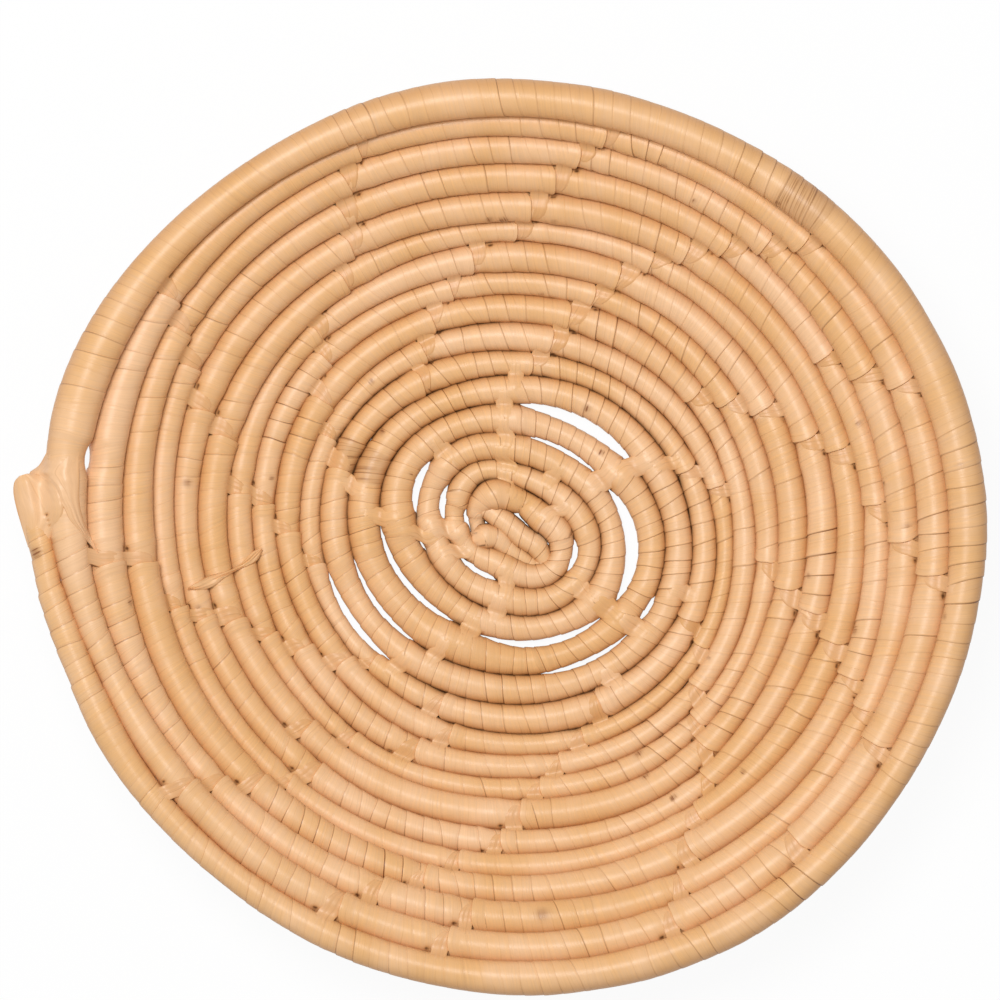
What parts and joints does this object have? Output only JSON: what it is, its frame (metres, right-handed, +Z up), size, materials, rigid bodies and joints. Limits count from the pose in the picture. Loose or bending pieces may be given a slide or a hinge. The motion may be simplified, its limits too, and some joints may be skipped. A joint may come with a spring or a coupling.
{
  "type": "coiled basket tray",
  "caption": "Shallow round coiled basket tray: a grass bundle wound in a spiral from a folded centre, wrapped and stitched with leaf strips, ending in a folded binding.",
  "frame": {"origin": "under the middle of the bounding box, on the surface that the tray rests on", "axes": "+Z up out of the bowl, +X away from the folded binding at the rim, +Y a quarter turn counter-clockwise from +X seen from above"},
  "size_m": [0.3118, 0.2972, 0.0487],
  "materials": {
    "grass_bundle": "matt dried sweetgrass stems",
    "leaf_wrap": "satin dried palm leaf strip, fine fibres across the coil",
    "leaf_wrap_pale": "satin dried palm leaf strip, paler and pinker",
    "leaf_binding": "satin dried palm leaf, folded"
  },
  "bodies": {
    "root": {"grass_bundle": "grass_bundle", "wrap_strip_01": "leaf_wrap", "wrap_strip_02": "leaf_wrap_pale", "wrap_strip_03": "leaf_wrap", "wrap_strip_04": "leaf_wrap_pale", "wrap_strip_05": "leaf_wrap", "wrap_strip_06": "leaf_wrap_pale", "wrap_strip_07": "leaf_wrap", "wrap_strip_08": "leaf_wrap_pale", "wrap_strip_09": "leaf_wrap", "wrap_strip_10": "leaf_wrap_pale", "wrap_strip_11": "leaf_wrap", "wrap_strip_12": "leaf_wrap_pale", "wrap_strip_13": "leaf_wrap", "wrap_strip_14": "leaf_wrap_pale", "wrap_strip_15": "leaf_wrap", "wrap_strip_16": "leaf_wrap_pale", "wrap_strip_17": "leaf_wrap", "wrap_strip_18": "leaf_wrap_pale", "wrap_strip_19": "leaf_wrap", "wrap_strip_20": "leaf_wrap_pale", "wrap_strip_21": "leaf_wrap", "wrap_strip_22": "leaf_wrap_pale", "wrap_strip_23": "leaf_wrap", "wrap_strip_24": "leaf_wrap_pale", "wrap_strip_25": "leaf_wrap", "wrap_strip_26": "leaf_wrap_pale", "wrap_strip_27": "leaf_wrap", "wrap_strip_28": "leaf_wrap_pale", "wrap_strip_29": "leaf_wrap", "wrap_strip_30": "leaf_wrap_pale", "wrap_strip_31": "leaf_wrap", "wrap_strip_32": "leaf_wrap_pale", "wrap_strip_33": "leaf_wrap", "wrap_strip_34": "leaf_wrap_pale", "wrap_strip_35": "leaf_wrap", "wrap_strip_36": "leaf_wrap_pale", "wrap_strip_37": "leaf_wrap", "wrap_strip_38": "leaf_wrap_pale", "tail_binding": "leaf_binding", "stray_strand": "leaf_binding"}
  },
  "joints": []
}
